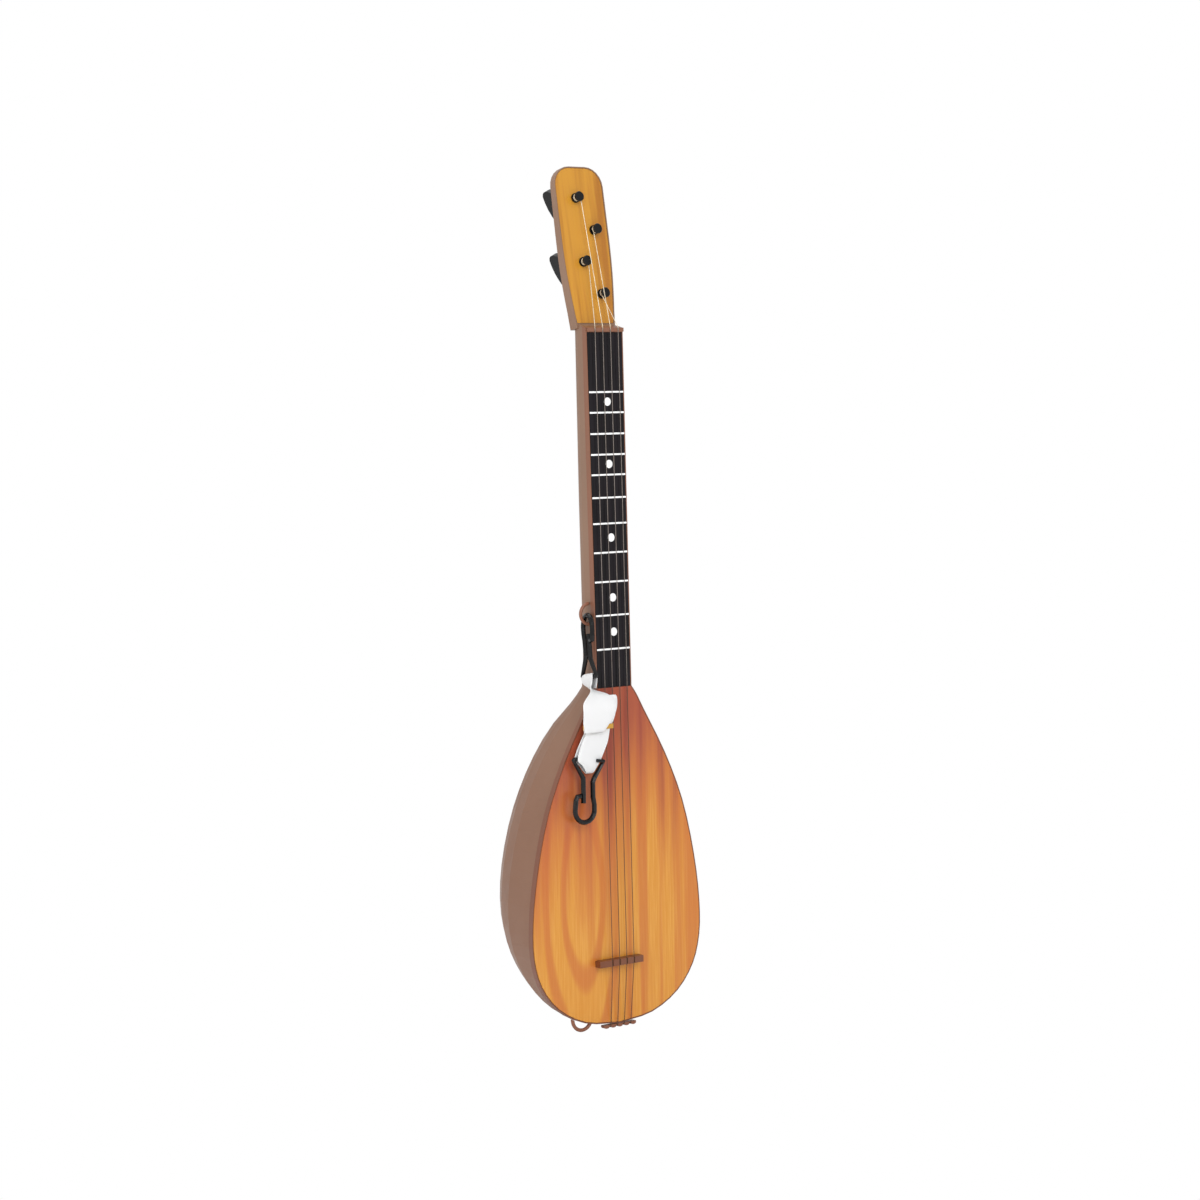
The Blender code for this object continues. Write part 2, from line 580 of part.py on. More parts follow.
# Strings: knot, comb, bridge, nut and the turns on the post
head_place = Matrix.Translation((0, HEAD_Y, HEAD_Z)) @ Matrix.Rotation(-HEAD_TILT, 4, "X")
body_place = Matrix.Translation((0, 0, JOINT_Z)) @ Matrix.Rotation(LEAN, 4, "X")
wrap_radius = SHAFT_R + CLEAR + STRING_R
wrap_front = -CLEAR - FLANGE_H - WAIST_H + CLEAR + STRING_R
for post, string in enumerate(POST_TO_STRING):
    x, s = post_places[post]
    comb_x = COMB_X + (string - 1.5) * TOOTH_PITCH
    string_z = COMB_SLOT_TOP - CLEAR - STRING_R
    nut_point = Vector((NUT_STRINGS[string] * MM, NUT_STRING_Y, nut_low + NUT_TALL + CLEAR))
    bridge_point = body_place @ Vector((BRIDGE_STRINGS[string] * MM, BRIDGE_STRING_Y, bridge_z))
    behind = lean_tail + SKIRT + 1.6 * MM
    route = [(comb_x, behind + 1.6 * MM, string_z), (comb_x, behind, string_z), (comb_x, behind - 0.6 * MM, string_z),
             (comb_x, comb_front, string_z), (comb_x, comb_front - 1.0 * MM, string_z + 0.5 * MM),
             bridge_point, nut_point]
    local = head_place.inverted() @ nut_point
    toward = math.atan2(local.z - s, local.x - x)
    reach = math.hypot(local.z - s, local.x - x)
    side = POST_SIDE[post]
    start = toward + side * math.acos(wrap_radius / reach)
    turn_points = []
    count = int(24 * STRING_TURNS)
    for k in range(count + 1):
        a = start + side * 2 * math.pi * k / 24
        y = wrap_front + STRING_START + STRING_PITCH * k / 24
        turn_points.append(Vector((x + wrap_radius * math.cos(a), y, s + wrap_radius * math.sin(a))))
    route += [head_place @ p for p in turn_points]
    radii = [2.4, 2.4, 1] + [1] * (len(route) - 3)
    mesh = tube_mesh(route, STRING_R, 1, radii)
    new_object(f"string_{string + 1}", mesh, STEEL, instrument)
    least = min((turn_points[a] - turn_points[b]).length for a in range(len(turn_points))
                for b in range(a + 12, len(turn_points)))
    print(f"string_{string + 1}: least gap between turns {(least - 2 * STRING_R) / MM:.2f} mm")


# Snap hooks
def hook_mesh(out, finger_radius):
    arc = [(RING[0] + RING[2] * math.cos(a), RING[1] + RING[2] * math.sin(a)) for a in np.linspace(0, -math.pi, 15)]
    flat = HOOK_START + [(8.2, -33.5)] + arc + HOOK_END
    path = [(u * MM, 0, v * MM) for u, v in flat]
    radii = [HOOK_BAR / HOOK_WIRE if v > -2 else 1 for u, v in flat]
    wire = tube_mesh(path, HOOK_WIRE, 2, radii)
    finger = [(12.9, 0, -0.9), (12.6, out * 0.6, -0.6), (11.2, out, -0.3), (4.9, out, -0.1)]
    return wire, tube_mesh([Vector(p) * MM for p in finger], finger_radius * MM, 2)


def snap_hook(name, parent, matrix, finger_at):
    wire, finger = hook_mesh(*finger_at)
    made = new_object(name, wire, BLACK, parent)
    made.matrix_local = matrix
    tool = cutter(name + "_finger", finger, parent)
    tool.matrix_local = matrix
    boolean(made, tool, "UNION")


ring_at = Vector(UPPER_RING) * MM
bar_at = Vector(UPPER_BAR) * MM
down = (ring_at - bar_at).normalized()
wide = Vector((0.24, 0.97, 0))
wide = (wide - wide.dot(down) * down).normalized()
across = down.cross(wide)
arm_x = ring_at.x + 0.24 / 0.97 * (NECK_LOOP_Y - ring_at.y)
arm_z = NECK_LOOP_Z - math.sqrt(NECK_LOOP_R**2 - (arm_x + neck_half(NECK_LOOP_Z)) ** 2)
upper_axis = empty("upper_hook_axis", (arm_x, NECK_LOOP_Y, arm_z), None, instrument)
upper_place = Matrix((wide, across, -down)).transposed().to_4x4()
upper_place.translation = bar_at - Vector((arm_x, NECK_LOOP_Y, arm_z))
snap_hook("upper_hook", upper_axis, upper_place, UPPER_FINGER)

lower_axis = empty("lower_hook_axis", Vector(LOWER_BAR) * MM, Matrix.Rotation(LOWER_TURN, 4, "Y"), instrument)
snap_hook("lower_hook", lower_axis, Matrix(), LOWER_FINGER)

# Strap: one ribbon along its path
strap_axis = empty("strap_axis", bar_at, None, instrument)
sections = smooth_path(STRAP_PATH, 2)
rings = []
for i, row in enumerate(sections):
    centre = Vector(row[:3]) * MM
    ahead = Vector(sections[min(i + 1, len(sections) - 1)][:3]) - Vector(sections[max(i - 1, 0)][:3])
    turn = math.radians(row[3])
    width = Vector((math.cos(turn), math.sin(turn), wide.z * math.sin(turn))).normalized()
    normal = ahead.cross(width).normalized()
    half = row[4] * MM / 2
    thick = normal * STRAP_THICK / 2
    ring = [centre + width * half * f + thick for f in (-1, -0.33, 0.33, 1)]
    ring += [centre + width * half * f - thick for f in (1, 0.33, -0.33, -1)]
    rings.append([p - bar_at for p in ring])
new_object("strap", loft_mesh(rings), WEBBING, strap_axis)


def oval(x, y, half_x, half_y):
    return [(x + half_x * math.copysign(abs(math.cos(a)) ** 0.4, math.cos(a)),
             y + half_y * math.copysign(abs(math.sin(a)) ** 0.4, math.sin(a)))
            for a in np.linspace(0, 2 * math.pi, 33)[:-1]]


curve = bpy.data.curves.new("band", "CURVE")
curve.dimensions = "2D"
curve.fill_mode = "BOTH"
curve.extrude = BAND_TALL / 2
BAND_X, BAND_Y, BAND_HALF_X, BAND_HALF_Y = -20.4 * MM, -5.95 * MM, 12.8 * MM, 1.85 * MM
poly_spline(curve, oval(BAND_X, BAND_Y, BAND_HALF_X + BAND_THICK, BAND_HALF_Y + BAND_THICK), True)
poly_spline(curve, oval(BAND_X, BAND_Y, BAND_HALF_X, BAND_HALF_Y), True)
band = mesh_of(curve, Matrix.Translation(Vector((0, 0, BAND_Z)) - bar_at))
new_object("strap_band", band, OCHRE, strap_axis)

for piece in parts.objects:
    if piece.type == "MESH":
        smooth_shade(piece.data)
bpy.context.view_layer.update()
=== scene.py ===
# %% [markdown]
# Toy baglama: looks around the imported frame, seen from the photograph's place

# %%
import math

import bmesh
import bpy
import numpy as np
from mathutils import Matrix, Vector


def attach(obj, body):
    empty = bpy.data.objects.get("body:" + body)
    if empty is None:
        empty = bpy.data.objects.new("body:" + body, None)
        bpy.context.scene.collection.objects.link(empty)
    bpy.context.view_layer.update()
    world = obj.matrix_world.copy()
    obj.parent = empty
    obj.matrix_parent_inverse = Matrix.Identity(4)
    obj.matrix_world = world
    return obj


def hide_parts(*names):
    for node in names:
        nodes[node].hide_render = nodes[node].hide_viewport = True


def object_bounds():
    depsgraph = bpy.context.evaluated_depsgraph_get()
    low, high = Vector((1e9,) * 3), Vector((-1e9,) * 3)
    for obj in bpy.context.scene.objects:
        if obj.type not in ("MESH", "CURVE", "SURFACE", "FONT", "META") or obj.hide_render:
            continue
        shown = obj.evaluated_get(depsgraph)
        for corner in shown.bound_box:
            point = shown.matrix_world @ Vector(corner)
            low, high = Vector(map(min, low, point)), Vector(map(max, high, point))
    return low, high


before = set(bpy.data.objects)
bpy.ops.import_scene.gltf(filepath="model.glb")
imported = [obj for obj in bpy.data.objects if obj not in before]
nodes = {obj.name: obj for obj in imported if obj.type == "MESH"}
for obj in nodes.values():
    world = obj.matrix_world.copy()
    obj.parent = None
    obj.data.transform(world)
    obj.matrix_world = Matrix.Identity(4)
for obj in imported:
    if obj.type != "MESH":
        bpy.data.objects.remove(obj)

bpy.ops.object.select_all(action="DESELECT")
cad_box = [[float(v) for v in corner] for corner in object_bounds()]
MM = 0.001
HANGER = Vector((0, 12, 543)) * MM
print("frame:", len(nodes), "nodes, box", cad_box)

# %% [markdown]
# Camera: the photograph's place, worked out from the neck and its frets

# %%
PHOTO_SIZE = 1200
FOCAL_PIXELS = 2830
SENSOR = 36
AZIMUTH = math.radians(-36)
ELEVATION = math.radians(3.431)
ROLL = math.radians(-1.608)
LOOK_AT = Vector((-11.132, 0, 325)) * MM - HANGER
DISTANCE = 2142.875 * MM

flat_part = math.cos(ELEVATION)
back = Vector((math.sin(AZIMUTH) * flat_part, -math.cos(AZIMUTH) * flat_part, math.sin(ELEVATION)))
level = Vector((math.cos(AZIMUTH), math.sin(AZIMUTH), 0))
upright = back.cross(level)
right = math.cos(ROLL) * level + math.sin(ROLL) * upright
up = -math.sin(ROLL) * level + math.cos(ROLL) * upright

lens = bpy.data.cameras.new("camera")
lens.sensor_width = SENSOR
lens.lens = FOCAL_PIXELS / PHOTO_SIZE * SENSOR
camera = bpy.data.objects.new("camera", lens)
bpy.context.scene.collection.objects.link(camera)
camera_turn = Matrix((right, up, back)).transposed().to_4x4()
camera.matrix_world = Matrix.Translation(LOOK_AT + DISTANCE * back) @ camera_turn
bpy.context.scene.camera = camera
print("camera:", tuple(round(v, 3) for v in camera.matrix_world.translation), "lens", round(lens.lens, 1))


# %% [markdown]
# Material tools: each material is a graph on the object's own metres

# %%
def linear(red, green, blue):
    """An sRGB colour of 0 to 255 as linear light."""
    parts = [c / 255 for c in (red, green, blue)]
    return tuple(c / 12.92 if c <= 0.04045 else ((c + 0.055) / 1.055) ** 2.4 for c in parts)


class Graph:
    """One material with its Principled shader and short calls for its nodes."""

    def __init__(self, name, colour, roughness, **constants):
        self.material = bpy.data.materials.new(name)
        self.material.use_nodes = True
        self.tree = self.material.node_tree
        self.shader = self.tree.nodes["Principled BSDF"]
        self.shader.inputs["Base Color"].default_value = (*colour, 1)
        self.shader.inputs["Roughness"].default_value = roughness
        for socket, value in constants.items():
            self.shader.inputs[socket.replace("_", " ")].default_value = value

    def put(self, socket, value):
        if isinstance(value, bpy.types.NodeSocket):
            self.tree.links.new(value, socket)
        else:
            socket.default_value = value

    def node(self, kind, output=0, settings=None, **inputs):
        made = self.tree.nodes.new(kind)
        for key, value in (settings or {}).items():
            setattr(made, key, value)
        for key, value in inputs.items():
            place = int(key[1:]) if key[0] == "i" and key[1:].isdigit() else key.replace("_", " ")
            self.put(made.inputs[place], value)
        return made.outputs[output]

    def metres(self, output="Object"):
        return self.node("ShaderNodeTexCoord", output)

    def math(self, operation, a, b=0.0, c=0.0):
        return self.node("ShaderNodeMath", 0, {"operation": operation}, i0=a, i1=b, i2=c)

    def stretched(self, vector, scale):
        return self.node("ShaderNodeVectorMath", 0, {"operation": "MULTIPLY"}, i0=vector, i1=scale)

    def noise(self, vector, scale, detail=3.0, roughness=0.55):
        return self.node("ShaderNodeTexNoise", "Fac", None, Vector=vector, Scale=scale, Detail=detail,
                         Roughness=roughness)

    def between(self, value, low, high, to_low=0.0, to_high=1.0):
        return self.node("ShaderNodeMapRange", 0, {"clamp": True, "interpolation_type": "SMOOTHSTEP"}, Value=value,
                         From_Min=low, From_Max=high, To_Min=to_low, To_Max=to_high)

    def mix(self, factor, first, second):
        made = self.tree.nodes.new("ShaderNodeMix")
        made.data_type = "RGBA"
        self.put(made.inputs[0], factor)
        for socket, value in ((made.inputs[6], first), (made.inputs[7], second)):
            self.put(socket, value if isinstance(value, bpy.types.NodeSocket) else (*value, 1))
        return made.outputs[2]

    def part(self, vector, axis):
        return self.node("ShaderNodeSeparateXYZ", axis, None, Vector=vector)

    def colour(self, value):
        self.put(self.shader.inputs["Base Color"], value)

    def rough(self, value):
        self.put(self.shader.inputs["Roughness"], value)

    def bump(self, height, distance, strength=1.0):
        made = self.node("ShaderNodeBump", 0, None, Height=height, Distance=distance, Strength=strength)
        self.put(self.shader.inputs["Normal"], made)


def dress(graph, *names):
    """Gives CAD nodes this material in all their slots."""
    for name in names:
        mesh = nodes[name].data
        if not mesh.materials:
            mesh.materials.append(graph.material)
        for i in range(len(mesh.materials)):
            mesh.materials[i] = graph.material


print("material tools ready")

# %% [markdown]
# Moulded plastics: brown shell and fittings, with painted shade towards the bottom of the shell and rim; black pegs,
# hooks and fingerboard

# %%
# Painted shade: the shell and rim browns go from the HIGH tone down to a darker, redder LOW tone towards the bottom
# of the body
BROWN_HIGH = linear(138, 108, 88)
BROWN_SHADED_LOW = linear(128, 91, 69)
BROWN_DARK = linear(112, 78, 58)
RIM_HIGH = linear(134, 88, 66)
RIM_SHADED_LOW = linear(116, 70, 50)
COMB_BROWN = linear(132, 82, 60)
BRIDGE_BROWN = linear(112, 60, 32)
BODY_LOW = -0.42
BODY_HIGH = -0.10


def brown_plastic(name, low, high, dark):
    graph = Graph(name, low, 0.4, Specular_IOR_Level=0.5)
    place = graph.metres()
    height = graph.part(place, "Z")
    # painted shade: darker and redder from BODY_HIGH down to BODY_LOW
    tone = graph.mix(graph.between(height, BODY_LOW, BODY_HIGH), low, high)
    cloud = graph.between(graph.noise(place, 14.0, 4.0), 0.35, 0.75)
    tone = graph.mix(graph.math("MULTIPLY", cloud, 0.3), tone, dark)
    graph.colour(tone)
    grain = graph.noise(place, 1500.0, 2.0)
    graph.rough(graph.between(graph.noise(place, 60.0, 3.0), 0.3, 0.7, 0.34, 0.46))
    graph.bump(grain, 0.06 * MM, 0.35)
    return graph


dress(brown_plastic("shell plastic", BROWN_SHADED_LOW, BROWN_HIGH, BROWN_DARK), "back_shell")
dress(brown_plastic("rim plastic", RIM_SHADED_LOW, RIM_HIGH, BROWN_DARK), "front_cover", "nut")
dress(brown_plastic("fitting plastic", COMB_BROWN, COMB_BROWN, BROWN_DARK), "string_holder", "neck_loop", "tail_loop")
dress(brown_plastic("bridge plastic", BRIDGE_BROWN, BRIDGE_BROWN, BROWN_DARK), "bridge")

BLACK = linear(12, 12, 13)
BLACK_WORN = linear(22, 22, 23)


def black_plastic(name, roughness):
    graph = Graph(name, BLACK, roughness, Specular_IOR_Level=0.3)
    place = graph.metres()
    graph.colour(graph.mix(graph.between(graph.noise(place, 220.0, 3.0), 0.45, 0.8), BLACK, BLACK_WORN))
    graph.rough(graph.between(graph.noise(place, 90.0, 2.0), 0.3, 0.7, roughness - 0.06, roughness + 0.08))
    graph.bump(graph.noise(place, 900.0, 2.0), 0.04 * MM, 0.3)
    return graph


pegs = [f"tuner_{kind}_{i}" for kind in ("post", "washer", "knob") for i in range(1, 5)]
dress(black_plastic("peg plastic", 0.26), *pegs)
dress(black_plastic("hook plastic", 0.22), "upper_hook", "lower_hook")

BOARD_BLACK = linear(27, 23, 27)
FRET_WHITE = linear(250, 250, 250)
BOARD_FRONT = -HANGER.y
FRET_EDGE = 0.1 * MM

board = Graph("fingerboard plastic", BOARD_BLACK, 0.2, Specular_IOR_Level=0.22)
place = board.metres()
raised = board.math("LESS_THAN", board.part(place, "Y"), BOARD_FRONT - FRET_EDGE)
streaks = board.noise(board.stretched(place, (260.0, 1.0, 18.0)), 1.0, 3.0)
black = board.mix(board.between(streaks, 0.4, 0.75), BOARD_BLACK, BLACK)
board.colour(board.mix(raised, black, FRET_WHITE))
board.rough(board.between(board.noise(place, 70.0), 0.3, 0.7, 0.16, 0.26))
dress(board, "fingerboard")
print("plastics on", sum(n not in ("soundboard", "head_plate") for n in nodes), "nodes")

# %% [markdown]
# Printed wood: oval cathedral grain on the body's left, stripes to its right, plain streaks on the head

# %%
AMBER = linear(205, 138, 50)
AMBER_PALE = linear(214, 154, 68)
ORANGE = linear(186, 102, 48)
REDDISH = linear(160, 78, 52)
RED_DARK = linear(134, 58, 44)
BAND_RED = linear(186, 98, 44)
HEAD_AMBER = linear(198, 140, 46)
HEAD_STREAK = linear(168, 108, 34)
GRAIN_AT = Vector((-33, 0, 105)) * MM - HANGER
GRAIN_PITCH = Vector((15, 0, 52)) * MM
GRAIN_SHIFT = -0.65
CORE_FROM = 0.25
CORE_TO = 0.95
STRIPE_PITCH = 13 * MM
STRIPES_FROM = -14 * MM
STRIPES_FULL = 4 * MM
RED_FROM = -0.400
RED_FULL = -0.310
ORANGE_FROM = -0.470
ORANGE_FULL = -0.370
GRAIN_SHARE = 0.62
ORANGE_SHARE = 0.8
DEEP_SHARE = 0.65

wood = Graph("printed wood", AMBER, 0.3, Specular_IOR_Level=0.35, Coat_Weight=0.12, Coat_Roughness=0.12)
place = wood.metres()
across = wood.part(place, "X")
height = wood.part(place, "Z")
wander = wood.noise(wood.stretched(place, (14.0, 0.0, 4.0)), 1.0, 2.0, 0.45)
shifted = wood.node("ShaderNodeVectorMath", 0, {"operation": "SUBTRACT"}, i0=place, i1=tuple(GRAIN_AT))
ovals = wood.stretched(shifted, (1 / GRAIN_PITCH.x, 0.0, 1 / GRAIN_PITCH.z))
radius = wood.node("ShaderNodeVectorMath", "Value", {"operation": "LENGTH"}, i0=ovals)
phase = wood.math("ADD", wood.math("MULTIPLY_ADD", wander, 1.1, radius), GRAIN_SHIFT)
rings = wood.between(wood.math("SINE", wood.math("MULTIPLY", phase, 2 * math.pi)), -0.1, 0.95)
rings = wood.math("MULTIPLY", rings, wood.between(radius, CORE_FROM, CORE_TO))
lines = wood.noise(wood.stretched(place, (1 / STRIPE_PITCH, 0.0, 1.6)), 1.0, 2.0, 0.5)
stripes = wood.between(lines, 0.46, 0.62)
to_right = wood.between(across, STRIPES_FROM, STRIPES_FULL)
grain = wood.math("ADD", wood.math("MULTIPLY", rings, wood.math("SUBTRACT", 1.0, to_right)),
                  wood.math("MULTIPLY", stripes, to_right))
fibre = wood.noise(wood.stretched(place, (700.0, 0.0, 20.0)), 1.0, 4.0, 0.6)
streak = wood.noise(wood.stretched(place, (75.0, 0.0, 3.0)), 1.0, 3.0, 0.55)
reach = wood.math("MULTIPLY_ADD", wood.math("SUBTRACT", streak, 0.5), 0.22, height)
lean = wood.math("MULTIPLY_ADD", across, -0.45, reach)
tone = wood.mix(wood.between(fibre, 0.4, 0.72), AMBER, AMBER_PALE)
tone = wood.mix(wood.math("MULTIPLY", wood.between(lean, ORANGE_FROM, ORANGE_FULL), ORANGE_SHARE), tone, ORANGE)
tone = wood.mix(wood.math("MULTIPLY", grain, GRAIN_SHARE), tone, BAND_RED)
tone = wood.mix(wood.between(lean, RED_FROM, RED_FULL), tone, REDDISH)
deep = wood.math("MULTIPLY", wood.between(streak, 0.5, 0.66), wood.between(height, -0.43, -0.33))
tone = wood.mix(wood.math("MULTIPLY", deep, DEEP_SHARE), tone, RED_DARK)
wood.colour(tone)
wood.bump(fibre, 0.02 * MM, 0.2)
dress(wood, "soundboard")

head = Graph("head wood", HEAD_AMBER, 0.32, Specular_IOR_Level=0.35, Coat_Weight=0.1, Coat_Roughness=0.12)
place = head.metres()
streak = head.noise(head.stretched(place, (95.0, 0.0, 5.0)), 1.0, 3.0, 0.55)
fine = head.noise(head.stretched(place, (1400.0, 0.0, 40.0)), 1.0, 2.0)
tone = head.mix(head.between(streak, 0.42, 0.68), HEAD_AMBER, HEAD_STREAK)
head.colour(head.mix(head.math("MULTIPLY", head.between(fine, 0.5, 0.8), 0.35), tone, BAND_RED))
head.bump(fine, 0.03 * MM, 0.25)
dress(head, "head_plate")
print("wood on soundboard and head_plate")

# %% [markdown]
# Strings with painted shade below the nut, and the strap's elastic band with painted shade between its threads

# %%
# The strings keep their own pale colour on the head; the grey and dark string colours below are painted shade
STRING_PALE = linear(226, 212, 184)
STRING_PAINTED_GREY = linear(118, 108, 102)
STRING_SHADE_AND_TWIST = linear(84, 62, 46)
NUT_HEIGHT = -0.013
JOINT_HEIGHT = -0.285
string = Graph("string", STRING_PALE, 0.34, Metallic=0.3)
place = string.metres()
height = string.part(place, "Z")
twist = string.noise(string.stretched(place, (900.0, 900.0, 240.0)), 1.0, 2.0)
# painted shade along each string: dark over the soundboard below the body joint, grey over the fingerboard up to the
# nut
tone = string.mix(string.between(height, JOINT_HEIGHT - 3 * MM, JOINT_HEIGHT + 3 * MM), STRING_SHADE_AND_TWIST, STRING_PAINTED_GREY)
tone = string.mix(string.between(height, NUT_HEIGHT - 3 * MM, NUT_HEIGHT + 3 * MM), tone, STRING_PALE)
# dark twist marks along the string, its own pattern, in the same dark colour as the painted shade
string.colour(string.mix(string.math("MULTIPLY", string.between(twist, 0.4, 0.7), 0.35), tone, STRING_SHADE_AND_TWIST))
dress(string, *[f"string_{i}" for i in range(1, 5)])

BAND_OCHRE = linear(214, 163, 54)
BAND_PAINTED_SHADE = linear(178, 126, 34)
THREAD_PITCH = 0.55 * MM
band = Graph("elastic band", BAND_OCHRE, 0.55, Sheen_Weight=0.15)
place = band.metres()
threads = band.math("SINE", band.math("MULTIPLY", band.part(place, "Z"), 2 * math.pi / THREAD_PITCH))
# painted shade: the band is darker in the grooves between its threads
band.colour(band.mix(band.between(threads, -0.6, 1.0), BAND_OCHRE, BAND_PAINTED_SHADE))
band.bump(threads, 0.08 * MM, 0.6)
dress(band, "strap_band")
print("strings and band dressed")

# %% [markdown]
# Position dots: pale inlays with a soft edge, on the fingerboard between its frets

# %%
DOT_HEIGHTS = [474.7, 427.6, 371.8, 326.3, 300.2]
DOT_ACROSS = 1.0
DOT_RADIUS = 3.15 * MM
DOT_PROUD = 0.15 * MM
DOT_SINK = 0.1 * MM
DOT_SOFT = 0.35 * MM
DOT_SIDES = 32

pearl = Graph("dot plastic", FRET_WHITE, 0.22, Coat_Weight=0.2)
place = pearl.metres()
pearl.colour(pearl.mix(pearl.between(pearl.noise(place, 420.0), 0.4, 0.8), FRET_WHITE, linear(240, 240, 238)))


def dot(name, height):
    """A low dome: rings of falling radius on the board's front."""
    rings = [(DOT_RADIUS, DOT_SINK), (DOT_RADIUS, -DOT_PROUD * 0.3), (DOT_RADIUS - DOT_SOFT, -DOT_PROUD * 0.9),
             (DOT_RADIUS * 0.4, -DOT_PROUD)]
    bm = bmesh.new()
    rows = []
    for radius, y in rings:
        turns = np.linspace(0, 2 * math.pi, DOT_SIDES + 1)[:-1]
        rows.append([bm.verts.new((DOT_ACROSS * MM + radius * math.cos(a), BOARD_FRONT + y,
                                   height * MM - HANGER.z + radius * math.sin(a))) for a in turns])
    for low, high in zip(rows, rows[1:]):
        for i in range(DOT_SIDES):
            j = (i + 1) % DOT_SIDES
            bm.faces.new((low[i], low[j], high[j], high[i]))
    bm.faces.new(rows[0])
    bm.faces.new(rows[-1])
    bmesh.ops.recalc_face_normals(bm, faces=bm.faces)
    mesh = bpy.data.meshes.new(name)
    bm.to_mesh(mesh)
    bm.free()
    mesh.shade_smooth()
    mesh.set_sharp_from_angle(angle=math.radians(40))
    mesh.materials.append(pearl.material)
    made = bpy.data.objects.new(name, mesh)
    bpy.context.scene.collection.objects.link(made)
    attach(made, "root")


for i, height in enumerate(DOT_HEIGHTS):
    dot(f"position_dot_{i + 1}", height)
print("dots:", len(DOT_HEIGHTS))

# %% [markdown]
# Strap: one ribbon of webbing, folded through both snap hooks

# %%
# Centre, turn of its width about the vertical, and width, in the instrument's millimetres
STRAP_PATH = [
    (-21.9, -2.0, 258.5, 76, 14), (-21.9, -2.0, 263.0, 76, 18.6), (-21.95, -2.2, 267.3, 76, 18.6),
    (-22.6, -1.7, 269.1, 76, 20), (-24.25, -1.4, 269.7, 76, 18.6), (-26.0, -1.7, 269.1, 76, 20),
    (-26.85, -2.0, 267.3, 76, 22), (-26.9, -3.0, 262.5, 72, 20), (-25.9, -6.5, 258.4, 48, 15),
    (-23.0, -10.2, 254.5, 14, 22), (-22.9, -11.2, 249.0, 0, 28), (-23.2, -11.5, 241.0, 0, 28.5),
    (-25.6, -11.5, 233.0, 0, 24.5), (-27.2, -11.5, 228.2, 0, 19.5), (-27.2, -10.55, 226.6, 0, 18.5),
    (-26.6, -9.6, 228.2, 0, 19.5), (-22.4, -9.5, 235.0, 0, 24.5), (-19.0, -9.3, 242.0, 0, 27),
    (-18.2, -9.2, 251.0, 0, 27), (-18.0, -8.3, 252.8, 0, 26), (-17.8, -7.4, 251.0, 0, 27),
    (-17.6, -7.0, 242.0, 0, 27), (-18.6, -6.7, 234.0, 0, 24),
    (-20.0, -6.7, 229.5, 0, 21), (-25.5, -7.8, 218.0, 0, 24), (-29.8, -8.4, 209.5, 0, 23),
    (-31.1, -8.5, 205.5, 0, 21), (-30.4, -8.4, 201.5, 0, 14), (-30.3, -7.5, 197.0, 0, 8),
    (-30.2, -6.05, 195.8, 0, 7), (-30.3, -4.6, 197.0, 0, 8), (-30.4, -3.7, 201.5, 0, 14),
    (-31.1, -3.6, 205.5, 0, 21), (-29.3, -3.9, 210.0, 0, 23), (-25.0, -4.5, 219.0, 0, 23),
    (-21.5, -5.1, 227.0, 0, 21),
]
UPPER_BAR_SLOPE = -0.1407
STRAP_THICK = 1.0 * MM
STRAP_STEPS = 8
ACROSS = 14
STRAP_WIDTH = 28 * MM
EDGE_THIN = 0.75
WEAVE_PITCH = 1.3 * MM
WEAVE_DEEP = 0.25 * MM
WEBBING_WHITE = linear(254, 254, 254)
WEBBING_PAINTED_SHADE = linear(214, 217, 220)


def smooth_path(points, steps):
    """A smooth curve through the points, with this many steps between neighbours."""
    points = np.array(points, float)
    gaps = np.linalg.norm(np.diff(points[:, :3], axis=0), axis=1) ** 0.5
    chords = np.diff(points, axis=0) / gaps[:, None]
    slopes = np.zeros_like(points)
    slopes[0], slopes[-1] = chords[0], chords[-1]
    for i in range(1, len(points) - 1):
        slopes[i] = (chords[i - 1] * gaps[i] + chords[i] * gaps[i - 1]) / (gaps[i - 1] + gaps[i])
    out = []
    for i, gap in enumerate(gaps):
        for t in np.arange(steps) / steps:
            out.append((2 * t**3 - 3 * t**2 + 1) * points[i] + (t**3 - 2 * t**2 + t) * gap * slopes[i]
                       + (3 * t**2 - 2 * t**3) * points[i + 1] + (t**3 - t**2) * gap * slopes[i + 1])
    out.append(points[-1])
    return np.array(out)


def webbing_graph():
    graph = Graph("webbing", linear(250, 252, 250), 0.85, Sheen_Weight=0.3)
    flat = graph.stretched(graph.metres("UV"), (1.0, 1.0, 0.0))
    along = graph.part(flat, "Y")
    across = graph.part(flat, "X")
    lines = []
    for sign in (1, -1):
        slant = graph.math("MULTIPLY_ADD", across, sign, along)
        lines.append(graph.math("SINE", graph.math("MULTIPLY", slant, 2 * math.pi / WEAVE_PITCH)))
    weave = graph.math("MAXIMUM", lines[0], lines[1])
    # painted shade: the white webbing is greyer in the grooves of its weave
    graph.colour(graph.mix(graph.between(weave, -0.7, 0.6), WEBBING_PAINTED_SHADE, WEBBING_WHITE))
    graph.bump(weave, WEAVE_DEEP, 0.8)
    return graph


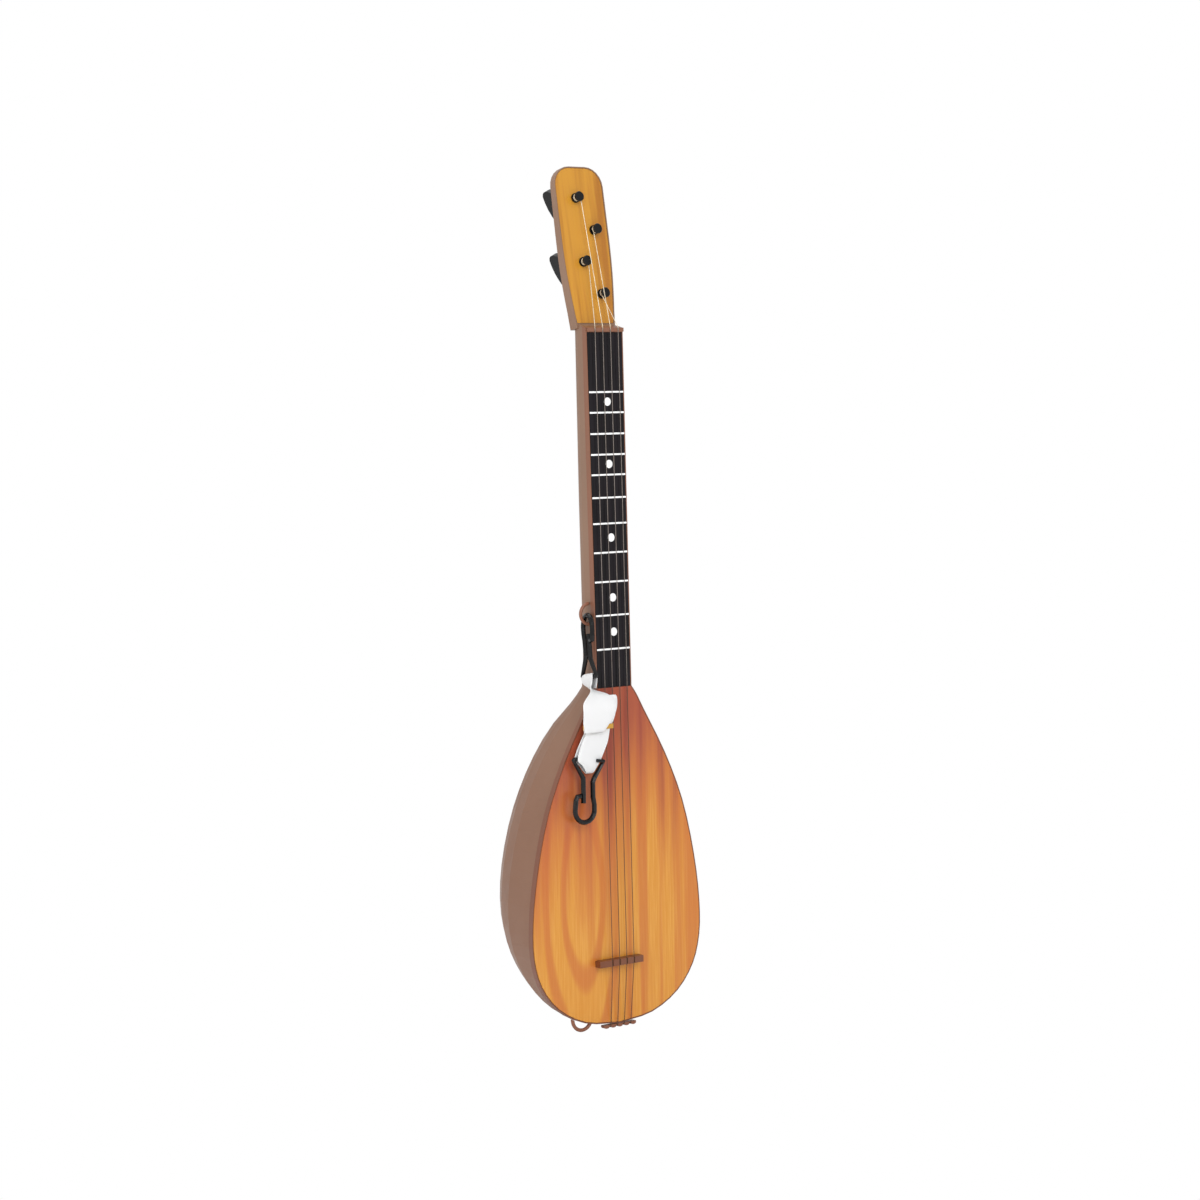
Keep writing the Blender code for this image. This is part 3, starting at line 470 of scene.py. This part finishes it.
sections = smooth_path(STRAP_PATH, STRAP_STEPS)
run = np.concatenate(([0], np.cumsum(np.linalg.norm(np.diff(sections[:, :3], axis=0), axis=1)))) * MM
bm = bmesh.new()
layer = bm.loops.layers.uv.new("webbing")
spots = np.linspace(-1, 1, ACROSS + 1)
thin = [STRAP_THICK / 2 * math.sqrt(1 - EDGE_THIN * abs(f) ** 12) for f in spots]
rings = []
for i, row in enumerate(sections):
    centre = Vector(row[:3]) * MM - HANGER
    ahead = Vector(sections[min(i + 1, len(sections) - 1)][:3]) - Vector(sections[max(i - 1, 0)][:3])
    turn = math.radians(row[3])
    width = Vector((math.cos(turn), math.sin(turn), UPPER_BAR_SLOPE * math.sin(turn))).normalized()
    normal = ahead.cross(width).normalized()
    half = row[4] * MM / 2
    front = [centre + width * half * f + normal * t for f, t in zip(spots, thin)]
    rear = [centre + width * half * f - normal * t for f, t in zip(spots, thin)][::-1]
    rings.append([bm.verts.new(p) for p in front + rear])
count = len(rings[0])
spots_u = [f * STRAP_WIDTH / 2 for f in spots]
spots_u += spots_u[::-1]
for i, (low, high) in enumerate(zip(rings, rings[1:])):
    for k in range(count):
        j = (k + 1) % count
        face = bm.faces.new((low[k], low[j], high[j], high[k]))
        corners = ((spots_u[k], run[i]), (spots_u[j], run[i]), (spots_u[j], run[i + 1]), (spots_u[k], run[i + 1]))
        for loop, corner in zip(face.loops, corners):
            loop[layer].uv = corner
bm.faces.new(rings[0])
bm.faces.new(rings[-1])
bmesh.ops.recalc_face_normals(bm, faces=bm.faces)
mesh = bpy.data.meshes.new("webbing_strap")
bm.to_mesh(mesh)
bm.free()
mesh.shade_smooth()
mesh.set_sharp_from_angle(angle=math.radians(60))
mesh.materials.append(webbing_graph().material)
strap = bpy.data.objects.new("webbing_strap", mesh)
bpy.context.scene.collection.objects.link(strap)
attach(strap, "strap")
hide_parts("strap")

# %% [markdown]
# Studio: pale floor, white background and soft light

# %%
FLOOR_GAP = 0.5 * MM
FLOOR_SIZE = 12
bpy.ops.mesh.primitive_plane_add(size=FLOOR_SIZE, location=(0, 0, cad_box[0][2] - FLOOR_GAP))
floor = bpy.context.object
floor.name = "floor"
pale = Graph("floor", (0.93, 0.93, 0.93), 0.7)
place = pale.metres()
pale.colour(pale.mix(pale.noise(place, 3.0), (0.92, 0.92, 0.92), (0.94, 0.94, 0.94)))
shown = pale.node("ShaderNodeEmission", 0, None, Color=(1, 1, 1, 1), Strength=1.0)
seen = pale.node("ShaderNodeLightPath", "Is Camera Ray")
output = pale.tree.nodes["Material Output"]
blend = pale.tree.nodes.new("ShaderNodeMixShader")
pale.put(blend.inputs[0], seen)
pale.put(blend.inputs[1], pale.shader.outputs[0])
pale.put(blend.inputs[2], shown)
pale.put(output.inputs["Surface"], blend.outputs[0])
floor.data.materials.append(pale.material)

WORLD_STRENGTH = 0.68
world = bpy.data.worlds.new("studio")
bpy.context.scene.world = world
world.use_nodes = True
tree = world.node_tree
light = tree.nodes["Background"]
light.inputs["Color"].default_value = (1, 1, 1, 1)
light.inputs["Strength"].default_value = WORLD_STRENGTH
white = tree.nodes.new("ShaderNodeBackground")
white.inputs["Color"].default_value = (1, 1, 1, 1)
white.inputs["Strength"].default_value = 1.0
path = tree.nodes.new("ShaderNodeLightPath")
mixed = tree.nodes.new("ShaderNodeMixShader")
tree.links.new(path.outputs["Is Camera Ray"], mixed.inputs[0])
tree.links.new(light.outputs[0], mixed.inputs[1])
tree.links.new(white.outputs[0], mixed.inputs[2])
tree.links.new(mixed.outputs[0], tree.nodes["World Output"].inputs["Surface"])


def area_light(name, place, size, power):
    lamp = bpy.data.lights.new(name, "AREA")
    lamp.shape = "RECTANGLE"
    lamp.size, lamp.size_y = size
    lamp.energy = power
    made = bpy.data.objects.new(name, lamp)
    bpy.context.scene.collection.objects.link(made)
    aim = (LOOK_AT - Vector(place)).to_track_quat("-Z", "Y")
    made.matrix_world = Matrix.Translation(place) @ aim.to_matrix().to_4x4()


area_light("key", (-0.6, -2.2, 0.9), (1.2, 1.6), 27)
area_light("fill", (-2.0, -0.4, 0.1), (1.2, 1.8), 16)
area_light("top", (0.2, 0.4, 1.7), (1.5, 1.5), 10)
bpy.context.scene.view_settings.view_transform = "Standard"
print("studio ready")
